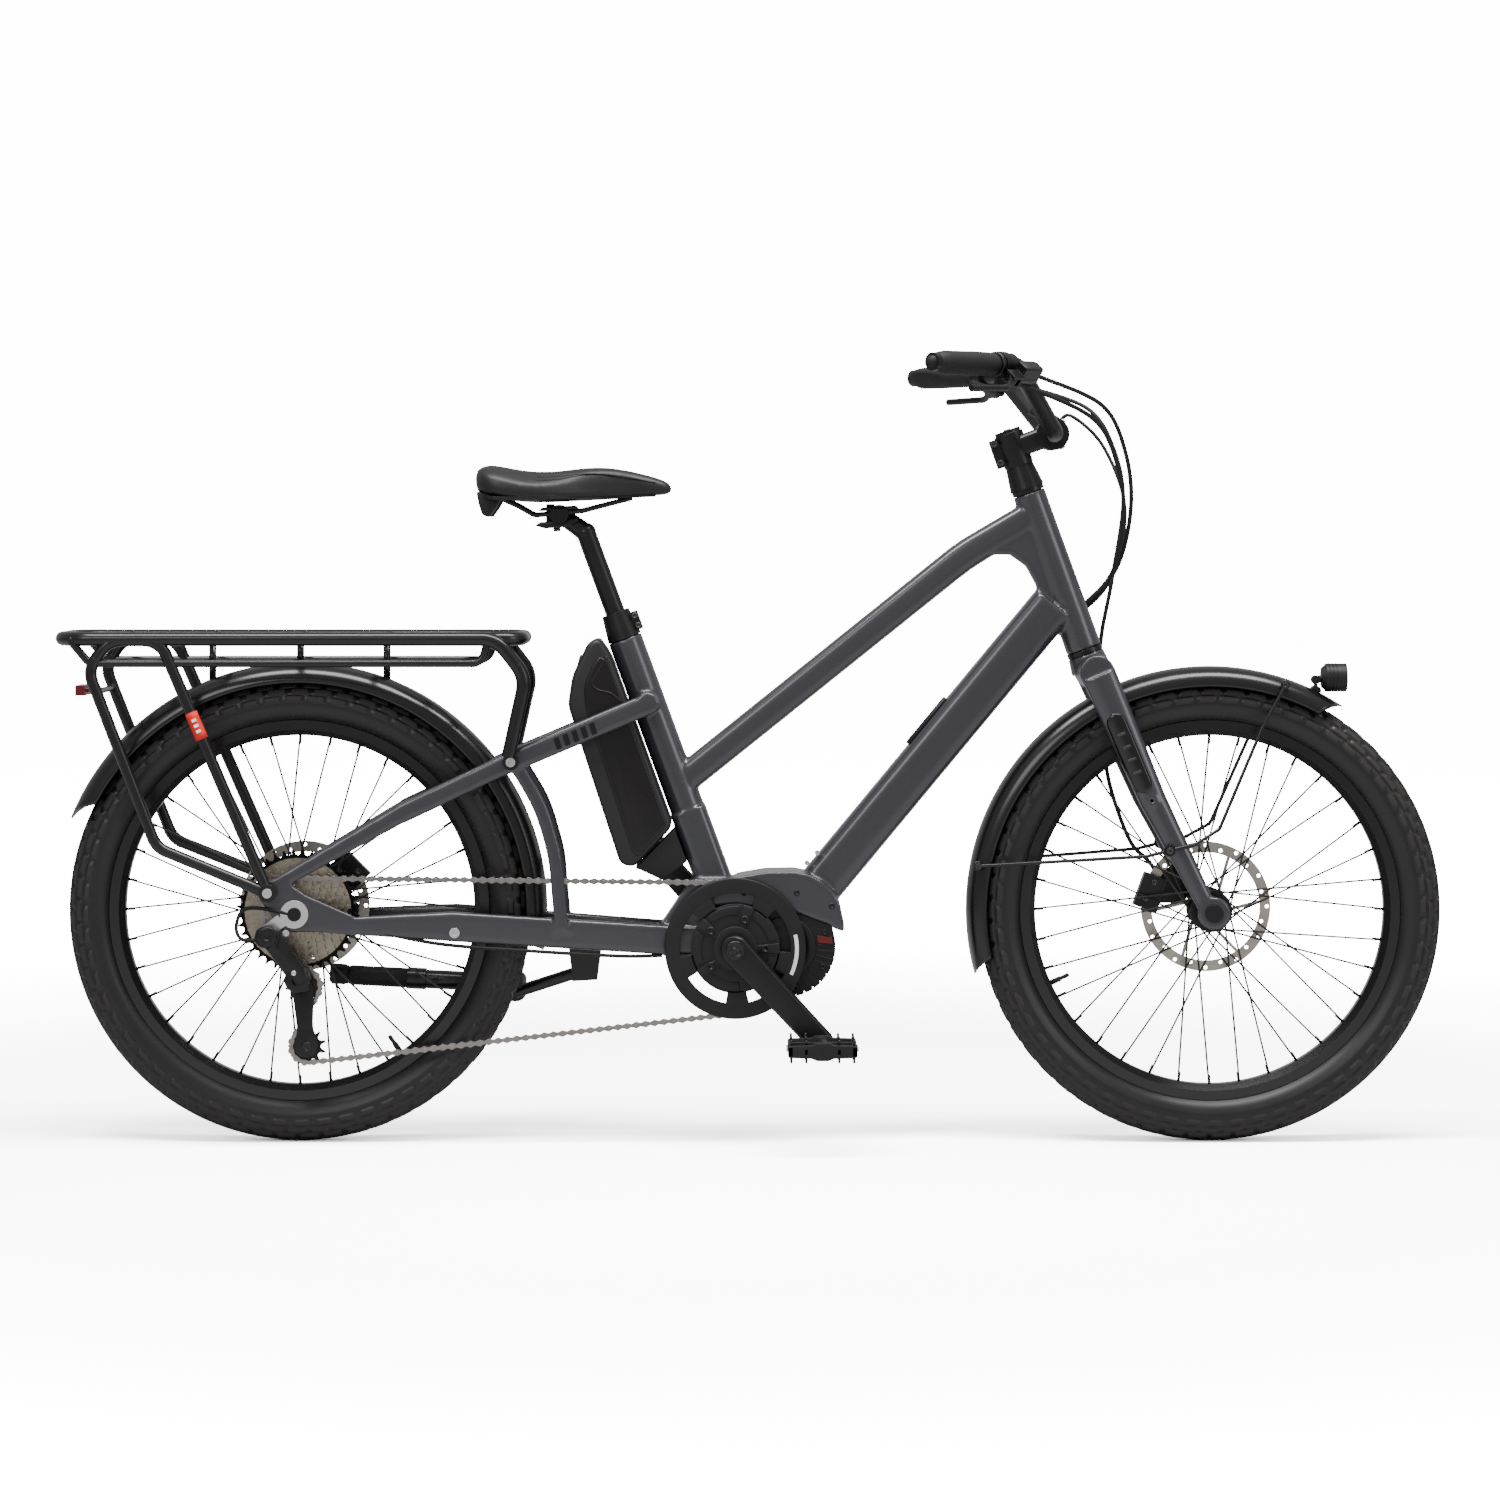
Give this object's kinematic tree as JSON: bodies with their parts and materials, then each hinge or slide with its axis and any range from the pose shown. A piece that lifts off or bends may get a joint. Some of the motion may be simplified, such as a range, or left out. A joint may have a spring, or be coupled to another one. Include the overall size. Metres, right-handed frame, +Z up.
{
  "type": "cargo bicycle",
  "caption": "Mid-motor cargo bicycle with rear battery, tubular rear rack, fenders, disc brakes, chain drive and kickstand; steering, wheels, cranks and controls move.",
  "frame": {"origin": "on the ground, midway between the front edge of the front tyre and the rear end of the rack, in the bicycle's middle plane", "axes": "+X forward, +Y to the rider's left, +Z up"},
  "size_m": [1.9001, 0.6718, 1.0822],
  "materials": {
    "frame_paint": "satin",
    "black_metal": "satin",
    "motor_black": "satin",
    "battery_case": "satin",
    "steel": "brushed",
    "silver_bolt": "satin",
    "black_plastic": "matt",
    "red_lens": "gloss",
    "rubber_black": "matt",
    "tyre_black": "matt",
    "saddle_skin": "satin",
    "clear_lens": "gloss"
  },
  "bodies": {
    "frame": {"frame": "frame_paint", "motor_housing": "motor_black", "battery_mount": "battery_case", "seat_clamp": "black_metal", "rear_rack": "black_metal", "rear_fender": "black_plastic", "rear_light": "red_lens", "rear_caliper": "black_metal", "rear_axle": "black_metal", "derailleur_hanger": "silver_bolt", "derailleur_body": "black_metal", "kickstand_bracket": "black_metal", "headset_cups": "black_metal", "frame_bolts": "silver_bolt", "chain": "steel"},
    "steering": {"fork": "frame_paint", "stem": "black_metal", "handlebar": "black_metal", "grips": "rubber_black", "brake_masters": "black_metal", "shifter_body": "black_plastic", "display_unit": "black_plastic", "control_cables": "rubber_black", "front_fender": "black_plastic", "front_fender_stays": "black_metal", "front_caliper": "black_metal", "front_axle": "black_metal", "steering_bolts": "silver_bolt"},
    "brake_lever_right": {"brake_lever_right": "black_metal"},
    "brake_lever_left": {"brake_lever_left": "black_metal"},
    "shift_lever": {"shift_lever": "black_metal"},
    "headlight": {"headlight_housing": "black_plastic", "headlight_lens": "clear_lens"},
    "front_wheel": {"front_tyre": "tyre_black", "front_rim": "black_metal", "front_spokes": "steel", "front_hub": "black_metal", "front_rotor": "steel"},
    "rear_wheel": {"rear_tyre": "tyre_black", "rear_rim": "black_metal", "rear_spokes": "steel", "rear_hub": "black_metal", "rear_rotor": "steel"},
    "cassette": {"cassette": "steel"},
    "crank": {"crank_right": "black_metal", "crank_left": "black_metal", "crank_spindle": "steel", "chainring": "black_metal", "chain_guard": "black_plastic"},
    "pedal_right": {"pedal_right": "black_plastic"},
    "pedal_left": {"pedal_left": "black_plastic"},
    "derailleur_cage": {"derailleur_cage": "black_metal"},
    "upper_pulley": {"upper_pulley": "black_plastic"},
    "lower_pulley": {"lower_pulley": "black_plastic"},
    "saddle": {"seatpost": "black_metal", "saddle_rails": "black_metal", "saddle_shell": "black_plastic", "saddle_cover": "saddle_skin"},
    "kickstand": {"kickstand_leg": "black_metal"},
    "battery": {"battery": "battery_case"}
  },
  "joints": [
    {"name": "steering_turn", "type": "hinge", "parent": "frame", "child": "steering", "pos_m": [0.462, 0, 0.67], "axis": [-0.3322, 0, 0.9432], "range_deg": [-50, 50], "deforming": ["control_cables"]},
    {"name": "front_wheel_spin", "type": "hinge", "parent": "steering", "child": "front_wheel", "pos_m": [0.632, 0, 0.318], "axis": [0, 1, 0], "continuous": true},
    {"name": "rear_wheel_spin", "type": "hinge", "parent": "frame", "child": "rear_wheel", "pos_m": [-0.619, 0, 0.318], "axis": [0, 1, 0], "continuous": true},
    {"name": "crank_spin", "type": "hinge", "parent": "frame", "child": "crank", "pos_m": [-0.02, 0, 0.269], "axis": [0, 1, 0], "continuous": true, "deforming": ["chain"]},
    {"name": "cassette_spin", "type": "hinge", "parent": "frame", "child": "cassette", "pos_m": [-0.619, 0, 0.318], "axis": [0, 1, 0], "continuous": true},
    {"name": "pedal_right_spin", "type": "hinge", "parent": "crank", "child": "pedal_right", "pos_m": [0.0973, 0, 0.14321], "axis": [0, 1, 0], "continuous": true},
    {"name": "pedal_left_spin", "type": "hinge", "parent": "crank", "child": "pedal_left", "pos_m": [-0.1373, 0, 0.39479], "axis": [0, 1, 0], "continuous": true},
    {"name": "derailleur_cage_swing", "type": "hinge", "parent": "frame", "child": "derailleur_cage", "pos_m": [-0.615, 0, 0.229], "axis": [0, 1, 0], "range_deg": [-10, 25], "deforming": ["chain"]},
    {"name": "upper_pulley_spin", "type": "hinge", "parent": "derailleur_cage", "child": "upper_pulley", "pos_m": [-0.609, 0, 0.217], "axis": [0, 1, 0], "continuous": true},
    {"name": "lower_pulley_spin", "type": "hinge", "parent": "derailleur_cage", "child": "lower_pulley", "pos_m": [-0.605, 0, 0.135], "axis": [0, 1, 0], "continuous": true},
    {"name": "saddle_height", "type": "slide", "parent": "frame", "child": "saddle", "axis": [-0.3453, 0, 0.9385], "range_m": [-0.06, 0.08]},
    {"name": "kickstand_swing", "type": "hinge", "parent": "frame", "child": "kickstand", "pos_m": [-0.327, 0.078, 0.2065], "axis": [0, -0.8192, -0.5736], "range_deg": [0, 105]},
    {"name": "battery_tilt", "type": "hinge", "parent": "frame", "child": "battery", "pos_m": [-0.152, 0, 0.371], "axis": [0, -1, 0], "range_deg": [0, 15]},
    {"name": "brake_right_pull", "type": "hinge", "parent": "steering", "child": "brake_lever_right", "pos_m": [0.34645, -0.23425, 1.03943], "axis": [-0.4835, 0.4235, -0.766], "range_deg": [0, 14]},
    {"name": "brake_left_pull", "type": "hinge", "parent": "steering", "child": "brake_lever_left", "pos_m": [0.34645, 0.23425, 1.03943], "axis": [0.4835, 0.4235, 0.766], "range_deg": [0, 14]},
    {"name": "shift_push", "type": "hinge", "parent": "steering", "child": "shift_lever", "pos_m": [0.33201, -0.19236, 1.02471], "axis": [0.4835, -0.4235, 0.766], "range_deg": [0, 25]},
    {"name": "headlight_tilt", "type": "hinge", "parent": "steering", "child": "headlight", "pos_m": [0.779, 0, 0.634], "axis": [0, 1, 0], "range_deg": [-12, 8]}
  ],
  "couplings": [
    {"joint": "cassette_spin", "follows": "crank_spin", "ratio": 1.913},
    {"joint": "upper_pulley_spin", "follows": "crank_spin", "ratio": -4},
    {"joint": "lower_pulley_spin", "follows": "crank_spin", "ratio": 4}
  ]
}
